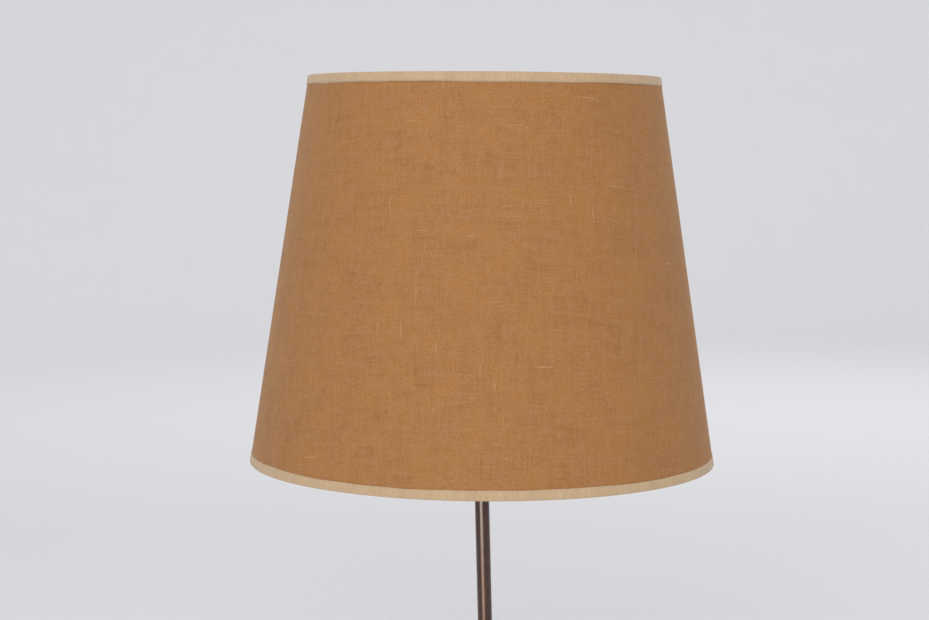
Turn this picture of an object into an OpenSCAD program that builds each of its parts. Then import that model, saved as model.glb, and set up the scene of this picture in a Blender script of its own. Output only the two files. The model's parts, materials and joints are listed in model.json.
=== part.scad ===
// Table lamp with a tapered cloth shade, in millimetres, +Z up.
// The origin is the centre of the felt's underside, on the stem's axis.
// A weighted round foot carries a slim tube. A screw-base lampholder with a rotary switch
// stands on the tube. The shade's fitter ring lies between two threaded rings on the
// lampholder's skirt with a little play, so the shade leans until that play is taken up.

/* [Shade] */
// Outer diameter at the bottom rim
shade_bottom_d = 400; // [340:5:480]
// Outer diameter at the top rim
shade_top_d = 300; // [240:5:360]
// Height from rim to rim
shade_h = 330; // [270:5:400]
// Thickness of the cloth
cloth_t = 0.7; // [0.5:0.1:1.2]
// Thickness of the stiff liner behind the cloth
liner_t = 0.6; // [0.4:0.1:1.2]
// Diameter of the two rim wires
wire_d = 3.5; // [2.5:0.5:5]
// Height of the trim tape on the outside of each rim
trim_w = 8; // [6:0.5:14]
// Thickness of the trim tape
trim_t = 0.8; // [0.5:0.1:1.2]
// Diameter of the spokes
spoke_d = 3.2; // [2:0.2:4]
// Number of spokes
spoke_count = 3; // [3:1:6]
// Height of the fitter ring above the bottom rim
fitter_rise = 12; // [9:0.5:20]
// Lean of the shade from the stem's axis, in degrees
shade_lean = 1.8; // [0.2:0.1:2.5]
// How far the fitter ring has slid sideways on the skirt
shade_shift = 0.9; // [0:0.1:0.9]

/* [Stem] */
// Outer diameter of the tube
stem_d = 12.7; // [11:0.1:18]
// Length of the tube
stem_len = 340; // [260:5:480]
// Bore of the tube
stem_bore = 9; // [8:0.5:9.5]

/* [Foot] */
// Diameter of the foot
foot_d = 210; // [170:5:260]
// Height of the foot at its edge
foot_edge_h = 18; // [16:1:28]
// How far the top of the foot rises from its edge to its centre
foot_rise = 5; // [3:0.5:10]
// Thickness of the spun cover
cover_t = 1.2; // [0.8:0.1:2]
// Thickness of the felt
felt_t = 2; // [1:0.5:4]
// Bore of the cable inlet
inlet_bore = 6.8; // [5:0.2:8]

/* [Lampholder] */
// Outer diameter of the cap
cap_d = 40; // [38:1:46]
// Height of the cap up to the skirt
cap_h = 26; // [24:1:32]
// Diameter of the skirt over its thread
skirt_d = 39.6; // [38.6:0.2:40]
// Height of the skirt
skirt_h = 34; // [32:1:40]
// Bore of the fitter ring
fitter_bore = 42; // [42:0.2:44]
// Diameter of the two shade rings' flanges
flange_d = 52; // [48:1:56]
// Diameter of the switch shaft
shaft_d = 5; // [4:0.2:6]

/* [Bulb] */
// Greatest diameter of the glass
bulb_d = 60; // [45:1:80]
// Length from the contact's tip to the top of the glass
bulb_len = 105; // [95:1:125]

/* [Hidden] */
$fn = 96;
through = 1;          // how far a cutting tool runs past the face it cuts
slack = 0.1;          // clearance between pieces that only lie together
thread_slack = 0.05;  // radial clearance in a plain-drawn screw thread
run_slack = 0.05;     // radial clearance of a shaft that turns
glue = 0.02;          // film of glue between the tape and the cloth

// Threaded tube that clamps the foot and carries the lampholder (M10 x 1)
nipple_d = 10;
nipple_bore = 7;
nipple_grip = 12;     // length of the nipple inside the stem's end

// Foot
foot_r = foot_d / 2;
edge_r = 5;           // rounding of the foot's top edge
hub_r = 16;           // flat centre of the foot's top
cover_gap = 0.8;      // height of the cover's edge above the table
hub_z = foot_edge_h + foot_rise;
weight_r = foot_r - cover_t - 1.8;
weight_top = foot_edge_h - cover_t - 1.8;
recess_r = 13;        // pocket for the nut under the foot
recess_top = 12;
nut_flats = 14;
nut_t = 4;
washer_d = 22;
washer_t = 1.5;
nipple_bottom = recess_top - washer_t - nut_t - 0.5;
inlet_z = 7.2;
bush_d = inlet_bore + 2.8;
bush_flange_d = inlet_bore + 5.2;
bush_flange_t = 2;
bush_len = 9;
block_y = 22;         // inner end of the terminal block
block_size = [20, 24, 9];
block_gap = 2;        // room around the terminal block in its pocket
lead_x = 5;           // the block's two wire holes lie at +x and -x
block_bore = 3;
block_bore_z = felt_t + 4;

// Stem
collar_r = 14;
collar_floor = 5;     // thickness of the collar under the stem's end
collar_h = 13;
collar_neck = stem_d / 2 + 2.5;
stem_z = hub_z + collar_floor;
stem_top = stem_z + stem_len;
ferrule_t = 4;
ferrule_r = max(stem_d / 2 + 3, 9);

// Lampholder: heights in this block are above its lowest face
holder_z = stem_top + ferrule_t;
neck_r = 8;
neck_h = 6;
cap_wall = 2.2;
cap_r = cap_d / 2;
cap_floor = neck_h + cap_wall;
spigot_r = skirt_d / 2 - 1.9;
spigot_h = 5;
core_r = spigot_r - 1.7;
ledge_r = core_r - 1.1;
core_t = 9;
core_z = cap_h - 2;
core_top = core_z + core_t;
skirt_r = skirt_d / 2;
skirt_top = cap_h + skirt_h;
skirt_pitch = 2.5;
ridge_h = 0.8;
mouth_r = 14.9;       // the skirt's mouth round the bulb's cap
lip_t = 3;
shaft_z = 17;
rotor_r = 5;
rotor_x = [2, 11];
leaf_t = 0.5;
leaf_z = shaft_z + rotor_r + 0.2;
terminal_r = 2.4;
terminal_z = 14;
terminal_bore = [2.6, 3];  // diameter and depth of the wire hole in each terminal
terminal_at = [-5, 10];
lead_d = 2.2;

// Shade rings on the skirt's thread, and the play that they leave
ring_bore = skirt_d + 0.16;
ring_flange_t = 2;
ring_h = 9;
ring_barrel_d = flange_d - 6.4;
fitter_t = 1.5;
fitter_d = flange_d + 8;
rock_gap = 0.15;
half_gap = flange_d / 2 * sin(shade_lean) + fitter_t / 2 + rock_gap;
seat_h = cap_h + 14;                       // height of the lower ring's flange
seat_z = holder_z + seat_h;
pivot_z = seat_z + half_gap;               // the shade rocks about this height
rim_z = pivot_z - fitter_rise;

// Shade, in its own frame: z = 0 is its bottom rim
shade_slope = atan((shade_bottom_d - shade_top_d) / 2 / shade_h);
function across(t) = t / cos(shade_slope);
function cloth_r(z) = shade_bottom_d / 2 - (shade_bottom_d - shade_top_d) / 2 * z / shade_h;
function inside_r(z) = cloth_r(z) - across(cloth_t + liner_t);
wire_rise = trim_t + slack + wire_d / 2;   // height of a rim wire's centre from its rim
function wire_r(z) = inside_r(z) - across(wire_d / 2 + slack / 2);
bottom_wire_r = wire_r(wire_rise);

// Bulb: heights are above the tip of its contact
bulb_z = holder_z + core_top + 3.5;
cap_thread_r = 12.62; // mean radius of the E27 thread
thread_wave = 0.5;    // half the thread's depth
thread_pitch = 3.63;
thread_play = 0.25;   // radial play between the bulb's thread and its shell
bulb_cap_z = [6, 26];
bulb_thread_z = [7, 24];
bulb_neck_r = 13.3;
glass_t = 0.8;
glass_foot = 17;      // lower end of the glass inside the cap
neck_top = 29.5;      // where the neck starts to widen
globe_r = bulb_d / 2;
globe_z = bulb_len - globe_r;
blend_angle = 40;     // the globe runs this far below its middle
filament_z = globe_z - 3.5;
filament_x = 13;
mount_top = 49.5;

// ---------------------------------------------------------------- shared shapes

// A ring of wall between two radii
module tube(r_out, r_in, h) {
    difference() {
        cylinder(r = r_out, h = h);
        translate([0, 0, -through]) cylinder(r = r_in, h = h + 2 * through);
    }
}

module on_lampholder() { translate([0, 0, holder_z]) children(); }

module on_bulb() { translate([0, 0, bulb_z]) children(); }

// Places the shade's own frame on its fitter ring, slid and leaning as the play lets it
module on_fitter() {
    translate([shade_shift, 0, pivot_z]) rotate([0, shade_lean, 0])
        translate([0, 0, -fitter_rise]) children();
}

// A round rod from a to b
module rod(a, b, d) {
    run = b - a;
    translate(a)
        rotate([0, acos(run[2] / norm(run)), atan2(run[1], run[0])])
            cylinder(d = d, h = norm(run));
}

// Cross-product helpers for a tube swept along a line of points
function unit(v) = v / norm(v);
function heading(pts, i) =
    i == 0 ? unit(pts[1] - pts[0]) :
    i == len(pts) - 1 ? unit(pts[i] - pts[i - 1]) :
    unit(unit(pts[i + 1] - pts[i]) + unit(pts[i] - pts[i - 1]));
function side(h, aside) = unit(cross(h, aside));
function ring_at(pts, i, r, n, aside) =
    let (h = heading(pts, i), s = side(h, aside), t = cross(s, h))
    [for (k = [0 : n - 1]) pts[i] + r * (s * cos(360 * k / n) + t * sin(360 * k / n))];

// A tube of n sides along pts. The direction `aside` is never parallel to the run.
module swept(pts, d, n, aside) {
    rings = [for (i = [0 : len(pts) - 1]) each ring_at(pts, i, d / 2, n, aside)];
    last = (len(pts) - 1) * n;
    walls = [
        for (i = [0 : len(pts) - 2]) for (k = [0 : n - 1])
            let (a = i * n + k, b = i * n + (k + 1) % n) each [[a, b, a + n], [b, b + n, a + n]]
    ];
    start = [for (k = [1 : n - 2]) [0, k + 1, k]];
    end = [for (k = [1 : n - 2]) [last, last + k, last + k + 1]];
    polyhedron(points = rings, faces = concat(walls, start, end));
}

// ---------------------------------------------------------------- foot

// Height of the foot's top at radius r, between its rounded edge and its flat hub
function dome(r, inset) =
    foot_edge_h - inset + foot_rise * (1 - pow(max(r - hub_r, 0) / (foot_r - edge_r - hub_r), 2));

// The cover's outer or inner outline from the edge to the hub, set in by `inset`
function cover_line(inset) = concat(
    [[foot_r - inset, cover_gap]],
    [for (a = [0 : 15 : 90])
        [foot_r - edge_r + (edge_r - inset) * cos(a), foot_edge_h - edge_r + (edge_r - inset) * sin(a)]],
    [for (i = [1 : 9]) let (r = foot_r - edge_r - i * (foot_r - edge_r - hub_r) / 9) [r, dome(r, inset)]],
    [[nipple_d / 2 + slack, hub_z - inset]]
);

function reversed(list) = [for (i = [len(list) - 1 : -1 : 0]) list[i]];

module inlet_path(d, from, to) {
    translate([0, from, inlet_z]) rotate([-90, 0, 0]) cylinder(d = d, h = to - from);
}

module felt_pad() {
    color("darkolivegreen") cylinder(r = weight_r - 1, h = felt_t);
}

module foot_cover() {
    color("saddlebrown") difference() {
        rotate_extrude() polygon(concat(cover_line(0), reversed(cover_line(cover_t))));
        inlet_path(bush_d + 2 * slack, weight_r - 4, foot_r + 4);
    }
}

module foot_weight() {
    pocket = block_size + [2 * block_gap, 2 * block_gap, 1.5];
    boss_top = hub_z - cover_t;
    color("dimgray") difference() {
        rotate_extrude() polygon([
            [nipple_d / 2 + slack, felt_t], [weight_r, felt_t], [weight_r, weight_top - 2],
            [weight_r - 2, weight_top], [hub_r + 4, weight_top], [hub_r, boss_top],
            [nipple_d / 2 + slack, boss_top]
        ]);
        translate([0, 0, felt_t - through]) cylinder(r = recess_r, h = recess_top - felt_t + through);
        translate([-pocket[0] / 2, block_y - block_gap, felt_t - through])
            cube([pocket[0], pocket[1], pocket[2] + through]);
        translate([-lead_x - 1.5, 0, felt_t - through])
            cube([2 * lead_x + 3, block_y, 6 + through]);
        inlet_path(bush_d + 2 * slack, block_y + block_size[1], foot_r);
    }
}

module cable_bush() {
    flange_y = foot_r + slack / 2;
    color("black") difference() {
        union() {
            inlet_path(bush_d, foot_r - bush_len, flange_y + bush_flange_t);
            inlet_path(bush_flange_d, flange_y, flange_y + bush_flange_t);
        }
        inlet_path(inlet_bore, foot_r - bush_len - through, foot_r + bush_flange_t + through);
    }
}

module block_screw_places() {
    for (x = [-lead_x, lead_x], y = [block_y + 5, block_y + block_size[1] - 5])
        translate([x, y, felt_t + 0.8]) children();
}

module terminal_block() {
    color("ivory") difference() {
        translate([-block_size[0] / 2, block_y, felt_t + 0.8]) cube(block_size);
        for (x = [-lead_x, lead_x])
            translate([x, block_y - through, block_bore_z]) rotate([-90, 0, 0])
                cylinder(d = block_bore, h = block_size[1] + 2 * through);
        block_screw_places() translate([0, 0, -through]) cylinder(d = 3.4, h = 2.4 + through);
    }
}

module block_screws() {
    color("goldenrod") block_screw_places() difference() {
        cylinder(d = 3, h = 1.6);
        translate([-2, -0.3, -through]) cube([4, 0.6, 0.5 + through]);
    }
}

module foot_nipple() {
    color("darkgoldenrod") translate([0, 0, nipple_bottom])
        tube(nipple_d / 2, nipple_bore / 2, stem_z + nipple_grip - nipple_bottom);
}

module foot_washer() {
    color("silver") translate([0, 0, recess_top - washer_t])
        tube(washer_d / 2, nipple_d / 2 + slack, washer_t);
}

module foot_nut() {
    color("silver") translate([0, 0, recess_top - washer_t - nut_t]) difference() {
        cylinder(d = nut_flats / cos(30), h = nut_t, $fn = 6);
        translate([0, 0, -through]) cylinder(d = nipple_d + 2 * thread_slack, h = nut_t + 2 * through);
    }
}

// ---------------------------------------------------------------- stem

module stem_collar() {
    bore = nipple_d / 2 + slack;
    socket = stem_d / 2 + thread_slack;
    cove = collar_r - 1 - collar_neck;
    color("saddlebrown") translate([0, 0, hub_z]) rotate_extrude() polygon(concat(
        [[bore, 0], [collar_r, 0], [collar_r, 2.5]],
        [for (a = [0 : 15 : 90]) [collar_r - 1 - cove * sin(a), 3.5 + cove * (1 - cos(a))]],
        [[collar_neck, collar_h - 1], [collar_neck - 1, collar_h], [socket, collar_h],
         [socket, collar_floor], [bore, collar_floor]]
    ));
}

module stem_tube() {
    tapped = nipple_d / 2 + thread_slack;
    color("saddlebrown") difference() {
        translate([0, 0, stem_z]) tube(stem_d / 2, stem_bore / 2, stem_len);
        for (z = [stem_z - through, stem_top - nipple_grip - through])
            translate([0, 0, z]) cylinder(r = tapped, h = nipple_grip + 2 * through);
    }
}

module stem_ferrule() {
    color("darkgoldenrod") translate([0, 0, stem_top]) rotate_extrude() polygon([
        [nipple_d / 2 + slack, 0], [ferrule_r - 2, 0], [ferrule_r, 1.5], [ferrule_r, 3],
        [ferrule_r - 0.5, ferrule_t], [nipple_d / 2 + slack, ferrule_t]
    ]);
}

module top_nipple() {
    color("darkgoldenrod") translate([0, 0, stem_top - nipple_grip])
        tube(nipple_d / 2, nipple_bore / 2, nipple_grip + ferrule_t + cap_floor);
}

// One insulated conductor from the terminal block to a terminal of the lampholder.
// s is +1 for the live lead and -1 for the neutral one.
module lead(s) {
    top = holder_z;
    swept([
        [s * lead_x, block_y + 4, block_bore_z], [s * lead_x, block_y - 0.6, block_bore_z],
        [s * lead_x, 19, 5.2], [s * 3.6, 14, 4.2], [s * 1.8, 8, 3.7],
        [s * 1.4, 4, 3.8], [s * 1.4, 1.6, 5], [s * 1.4, 0.4, 7.5], [s * 1.4, 0, 11],
        [s * 1.4, 0, stem_z], [s * 1.4, 0, (stem_z + top) / 2], [s * 1.4, 0, top + 4],
        [s * 1.4, s * 0.4, top + 7], [s * 0.6 - 0.6, s * 2.6, top + 9.6],
        [-2.6, s * 6.4, top + 10], [terminal_at[0] + 0.2, s * (terminal_at[1] - 0.8), top + 11],
        [terminal_at[0], s * terminal_at[1], top + terminal_z - 1.2],
        [terminal_at[0], s * terminal_at[1], top + terminal_z + terminal_bore[1] - 0.4]
    ], lead_d, 8, [1, 0.2, 0]);
}

module live_lead() { color("brown") lead(1); }

module neutral_lead() { color("steelblue") lead(-1); }

// ---------------------------------------------------------------- lampholder

module holder_cap() {
    dome_r = cap_r - neck_r;
    hollow_r = dome_r - cap_wall;
    ledge_angle = asin((ledge_r - neck_r) / hollow_r);
    color("saddlebrown") on_lampholder() difference() {
        rotate_extrude() polygon(concat(
            [[nipple_d / 2 + thread_slack, 0], [neck_r, 0]],
            [for (a = [0 : 15 : 90]) [neck_r + dome_r * sin(a), neck_h + dome_r * (1 - cos(a))]],
            [[cap_r, cap_h], [spigot_r, cap_h], [spigot_r, cap_h + spigot_h],
             [core_r + slack, cap_h + spigot_h], [core_r + slack, core_z], [ledge_r, core_z]],
            [for (i = [4 : -1 : 0]) let (a = ledge_angle * i / 4)
                [neck_r + hollow_r * sin(a), cap_floor + hollow_r * (1 - cos(a))]],
            [[nipple_d / 2 + thread_slack, cap_floor]]
        ));
        translate([ledge_r - 2, 0, shaft_z]) rotate([0, 90, 0])
            cylinder(d = shaft_d + 2 * run_slack, h = cap_r);
        translate([0, 0, 3]) rotate([90, 0, 0]) cylinder(d = 3 + 2 * thread_slack, h = neck_r + through);
    }
}

module cap_grub_screw() {
    color("silver") on_lampholder() difference() {
        translate([0, -nipple_d / 2, 3]) rotate([90, 0, 0]) cylinder(d = 3, h = neck_r - nipple_d / 2);
        translate([-2, -neck_r - through, 2.7]) cube([4, 0.8 + through, 0.6]);
    }
}

module terminal_places() {
    for (s = [-1, 1]) translate([terminal_at[0], s * terminal_at[1], 0]) children();
}

module holder_core() {
    color("white") on_lampholder() difference() {
        translate([0, 0, core_z]) cylinder(r = core_r, h = core_t);
        translate([terminal_at[0], -terminal_at[1], core_z - through])
            cylinder(d = 2.7, h = core_t + 2 * through);
        translate([0, 0, core_z - through]) cylinder(d = 3.4, h = core_t + 2 * through);
    }
}

// The live terminal ends under its leaf, and the neutral one runs up through the core
module holder_terminals() {
    color("goldenrod") on_lampholder() difference() {
        union() {
            translate([terminal_at[0], terminal_at[1], terminal_z])
                cylinder(r = terminal_r, h = leaf_z - terminal_z);
            translate([terminal_at[0], -terminal_at[1], terminal_z])
                cylinder(r = terminal_r, h = core_z - terminal_z);
            translate([terminal_at[0], -terminal_at[1], core_z]) cylinder(d = 2.5, h = core_t);
        }
        terminal_places() translate([0, 0, terminal_z - through])
            cylinder(d = terminal_bore[0], h = terminal_bore[1] + through);
    }
}

module terminal_screws() {
    color("silver") on_lampholder() terminal_places()
        translate([-terminal_r, 0, terminal_z + 4.6]) rotate([0, -90, 0])
            difference() {
                cylinder(d = 2.6, h = 1.6);
                translate([-0.3, -2, 1]) cube([0.6, 4, 1]);
            }
}

// Two leaves lie over the rotor: one from the live terminal, one to the centre contact
module switch_leaves() {
    color("gold") on_lampholder() translate([0, 0, leaf_z]) {
        linear_extrude(leaf_t) polygon([
            [-7.2, 7.2], [-7.2, 12.4], [6.4, 12.4], [6.4, -3], [3, -3], [3, 7.2]
        ]);
        linear_extrude(leaf_t) polygon([
            [7.6, 3], [11, 3], [11, -6.4], [-2.4, -6.4], [-2.4, 2.4], [2, 2.4], [2, -3.6], [7.6, -3.6]
        ]);
    }
}

module centre_contact() {
    strip = 6;
    blade_t = 0.5;
    color("gold") on_lampholder() {
        translate([0, 0, leaf_z + leaf_t]) cylinder(d = 3, h = core_top - leaf_z - leaf_t);
        translate([0, strip / 2, core_top]) rotate([90, 0, 0]) linear_extrude(strip) polygon([
            [2, 0], [-6.5, 0], [-6.5, 1], [1.5, 3.4], [3, 3.4], [3, 3.4 - blade_t],
            [1.7, 3.4 - blade_t], [-5.6, 0.7], [-5.6, blade_t], [2, blade_t]
        ]);
    }
}

// Radius of the round screw thread at height z above the bulb's contact
function thread_at(z, play) = cap_thread_r + play + thread_wave * cos(360 * z / thread_pitch);

function thread_line(from, to, play) =
    let (steps = round((to - from) / thread_pitch * 8))
    [for (i = [0 : steps]) let (z = from + (to - from) * i / steps) [thread_at(z, play), z]];

module thread_shell() {
    base_z = core_top - (bulb_z - holder_z);
    wall = 0.5;
    top = bulb_thread_z[1];
    inner = thread_line(bulb_thread_z[0] - 2, top, thread_play);
    outer = thread_line(bulb_thread_z[0] - 2, top, thread_play + wall);
    color("gold") on_bulb() rotate_extrude() polygon(concat(
        [[9, base_z], [14, base_z]], outer, reversed(inner),
        [[inner[0][0], base_z + 0.6], [9, base_z + 0.6]]
    ));
}

module holder_skirt() {
    root = skirt_r - ridge_h;
    thread_from = cap_h + 3;
    turns = floor((skirt_h - 7) / skirt_pitch);
    ridge_end = thread_from + turns * skirt_pitch;
    color("saddlebrown") on_lampholder() rotate_extrude() polygon(concat(
        [[root, cap_h]],
        [for (i = [0 : turns - 1]) let (z = thread_from + i * skirt_pitch) each [
            [root, z], [skirt_r, z + 0.9], [skirt_r, z + 1.4], [root, z + 2.3]]],
        [[root, ridge_end], [root, skirt_top - 1], [root - 1, skirt_top],
         [mouth_r, skirt_top], [mouth_r, skirt_top - lip_t], [spigot_r - 1.3, skirt_top - lip_t],
         [spigot_r - 1.3, cap_h + spigot_h + slack], [spigot_r + slack, cap_h + spigot_h + slack],
         [spigot_r + slack, cap_h]]
    ));
}

module on_shaft() { on_lampholder() translate([0, 0, shaft_z]) rotate([0, 90, 0]) children(); }

// A drum with two flats, and the bridge that joins the leaves on every second quarter turn
module switch_rotor() {
    color("black") on_shaft() intersection() {
        translate([0, 0, rotor_x[0]]) cylinder(r = rotor_r, h = rotor_x[1] - rotor_x[0]);
        translate([-rotor_r, -rotor_r + 1, 0]) cube([2 * rotor_r, 2 * rotor_r - 2, 2 * rotor_x[1]]);
    }
}

module switch_shaft() {
    color("goldenrod") on_shaft() translate([0, 0, rotor_x[1]])
        cylinder(d = shaft_d, h = cap_r + 2.5 - rotor_x[1]);
}

// A round flat key on a short hub
module switch_knob() {
    key_r = 8;
    key_t = 3.6;
    hub_from = cap_r + 0.6;
    color("black") on_shaft() difference() {
        union() {
            translate([0, 0, hub_from]) cylinder(d = shaft_d + 3.4, h = 6);
            translate([0, key_t / 2, hub_from + 3 + key_r]) rotate([90, 0, 0]) cylinder(r = key_r, h = key_t);
        }
        translate([0, 0, hub_from - through])
            cylinder(d = shaft_d, h = cap_r + 2.5 - hub_from + through);
    }
}

// ---------------------------------------------------------------- shade rings

// A threaded ring with its flange face at z = 0 and its grooved barrel below
module shade_ring() {
    grooves = 24;
    groove_r = 0.8;
    color("black") difference() {
        rotate_extrude() polygon([
            [ring_bore / 2, 0], [flange_d / 2 - 0.4, 0], [flange_d / 2, -0.4],
            [flange_d / 2, -ring_flange_t + 0.4], [flange_d / 2 - 0.4, -ring_flange_t],
            [ring_barrel_d / 2, -ring_flange_t], [ring_barrel_d / 2, -ring_h + 0.6],
            [ring_barrel_d / 2 - 0.6, -ring_h], [ring_bore / 2, -ring_h]
        ]);
        for (i = [0 : grooves - 1]) rotate([0, 0, 360 * i / grooves])
            translate([ring_barrel_d / 2 + 0.4, 0, -ring_h - through])
                cylinder(r = groove_r, h = ring_h - ring_flange_t, $fn = 16);
    }
}

module seat_ring() { translate([0, 0, seat_z]) shade_ring(); }

module retaining_ring() { translate([0, 0, seat_z + 2 * half_gap]) mirror([0, 0, 1]) shade_ring(); }

// ---------------------------------------------------------------- shade

module fitter_plate() {
    translate([0, 0, fitter_rise - fitter_t / 2]) tube(fitter_d / 2, fitter_bore / 2, fitter_t);
}

module rim_wire(rim, way) {
    z = rim + way * wire_rise;
    rotate_extrude() translate([wire_r(z), z]) circle(d = wire_d);
}

// A coned sheet between two set-ins from the cloth's outer face
module cone_sheet(from, to) {
    low = trim_t;
    high = shade_h - trim_t;
    rotate_extrude() polygon([
        [cloth_r(low) - across(to), low], [cloth_r(low) - across(from), low],
        [cloth_r(high) - across(from), high], [cloth_r(high) - across(to), high]
    ]);
}

// The tape's section: down the outside, round the rim and back inside past the wire
module trim(rim, way) {
    wire_z = rim + way * wire_rise;
    inner = wire_r(wire_z) - wire_d / 2 - slack;
    tuck = rim + way * (wire_rise + wire_d / 2 + 1.2);
    edge = rim + way * trim_w;
    lip = rim + way * trim_t;
    rotate_extrude() polygon([
        [inner - trim_t, rim], [cloth_r(rim) + across(trim_t), rim],
        [cloth_r(edge) + across(trim_t), edge], [cloth_r(edge) + glue, edge],
        [cloth_r(lip) + glue, lip], [inner, lip], [inner, tuck], [inner - trim_t, tuck]
    ]);
}

// The straight line of each spoke, from the fitter ring out to the bottom wire
module spoke_lines(d, from, to) {
    start = [fitter_d / 2 - 1.5, 0, fitter_rise];
    end = [bottom_wire_r, 0, wire_rise];
    for (i = [0 : spoke_count - 1]) rotate([0, 0, 30 + 360 * i / spoke_count])
        rod(start + from * (end - start), start + to * (end - start), d);
}

module fitter_ring() { color("silver") on_fitter() fitter_plate(); }

module shade_spokes() {
    color("silver") on_fitter() difference() {
        spoke_lines(spoke_d, 0, 1);
        fitter_plate();
        rim_wire(0, 1);
    }
}

module bottom_wire() { color("silver") on_fitter() rim_wire(0, 1); }

module top_wire() { color("silver") on_fitter() rim_wire(shade_h, -1); }

module shade_liner() { color("ivory") on_fitter() cone_sheet(cloth_t, cloth_t + liner_t); }

module shade_cloth() { color("peru") on_fitter() cone_sheet(0, cloth_t); }

// The bottom tape is notched where the spokes reach the wire
module bottom_trim() {
    color("wheat") on_fitter() difference() {
        trim(0, 1);
        spoke_lines(spoke_d + 6 * slack, 0.9, 0.995);
    }
}

module top_trim() { color("wheat") on_fitter() trim(shade_h, -1); }

// ---------------------------------------------------------------- bulb

// The glass's outline: a globe that blends into its neck along a quadratic curve
function glass_line(set_in) =
    let (
        r = globe_r - set_in,
        neck = bulb_neck_r - set_in,
        start = [r * cos(blend_angle), globe_z - r * sin(blend_angle)],
        turn = [neck + 0.1, start[1] - (start[0] - neck - 0.1) / tan(blend_angle)],
        end = [neck, neck_top]
    ) concat(
        [for (a = [90 : -10 : -blend_angle]) [a == 90 ? 0 : r * cos(a), globe_z + r * sin(a)]],
        [for (i = [1 : 8]) let (t = i / 8)
            start * pow(1 - t, 2) + turn * 2 * t * (1 - t) + end * t * t]
    );

module bulb_glass() {
    tail_r = cap_thread_r - thread_wave - 0.9;
    color("lightblue") on_bulb() rotate_extrude() polygon(concat(
        glass_line(0), [
            [bulb_neck_r - 0.5, bulb_cap_z[1] + 1], [tail_r, bulb_cap_z[1] - 0.5], [tail_r, glass_foot],
            [tail_r - glass_t, glass_foot], [tail_r - glass_t, bulb_cap_z[1] - 0.5]
        ],
        reversed(glass_line(glass_t))
    ));
}

module bulb_cap() {
    wall = 0.4;
    outer = thread_line(bulb_thread_z[0], bulb_thread_z[1], 0);
    inner = thread_line(bulb_thread_z[0], bulb_thread_z[1], -wall);
    rim = bulb_neck_r - 0.2;
    color("goldenrod") on_bulb() rotate_extrude() polygon(concat(
        [[11, bulb_cap_z[0]]], outer, [[rim, bulb_cap_z[1] - 1], [rim, bulb_cap_z[1]],
        [rim - wall, bulb_cap_z[1]], [rim - wall, bulb_cap_z[1] - 1]], reversed(inner),
        [[11 - wall, bulb_cap_z[0] + 0.4]]
    ));
}

module bulb_insulator() {
    color("black") on_bulb() rotate_extrude() polygon([
        [0, 2], [5.5, 2], [10.4, bulb_cap_z[0] - 1], [10.4, bulb_cap_z[0] + 0.3], [0, bulb_cap_z[0] + 0.3]
    ]);
}

module bulb_contact() {
    color("silver") on_bulb() rotate_extrude() polygon([[0, 0], [2.4, 0.2], [4.6, 1.2], [4.6, 2], [0, 2]]);
}

module bulb_mount() {
    flare = cap_thread_r - thread_wave - 0.9 - glass_t - slack;
    color("lightblue") on_bulb() rotate_extrude() polygon([
        [0, glass_foot], [flare, glass_foot], [flare, glass_foot + 1], [6, 23], [4, 30],
        [4, mount_top - 2], [3, mount_top], [0, mount_top]
    ]);
}

module filament_leads() {
    color("silver") on_bulb() for (s = [-1, 1])
        rod([s * 1.6, 0, mount_top - 1], [s * filament_x, 0, filament_z], 0.7);
}

// The filament sags a little between its two leads
module filament() {
    sag = 1.4;
    color("orange") on_bulb() swept([
        for (i = [0 : 12]) let (x = i / 6 - 1) [filament_x * x, 0, filament_z - sag * (1 - x * x)]
    ], 0.8, 8, [0, 1, 0]);
}

// ---------------------------------------------------------------- nodes

felt_pad();
foot_weight();
foot_cover();
cable_bush();
terminal_block();
block_screws();
foot_nipple();
foot_washer();
foot_nut();
stem_collar();
stem_tube();
live_lead();
neutral_lead();
stem_ferrule();
top_nipple();
holder_cap();
cap_grub_screw();
holder_core();
holder_terminals();
terminal_screws();
switch_leaves();
centre_contact();
thread_shell();
holder_skirt();
switch_rotor();
switch_shaft();
switch_knob();
seat_ring();
retaining_ring();
fitter_ring();
shade_spokes();
bottom_wire();
top_wire();
shade_liner();
shade_cloth();
bottom_trim();
top_trim();
bulb_glass();
bulb_cap();
bulb_insulator();
bulb_contact();
bulb_mount();
filament_leads();
filament();
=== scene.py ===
"""Looks for the table lamp: a tapered linen shade on a slim bronzed tube and a round weighted foot.

Each piece is built at its own place in metres, in the lamp's frame: the origin is under the
middle of the foot, +Z is up, and the shade leans towards +X.
"""
import json
import math

import bpy
from mathutils import Matrix, Vector


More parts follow.
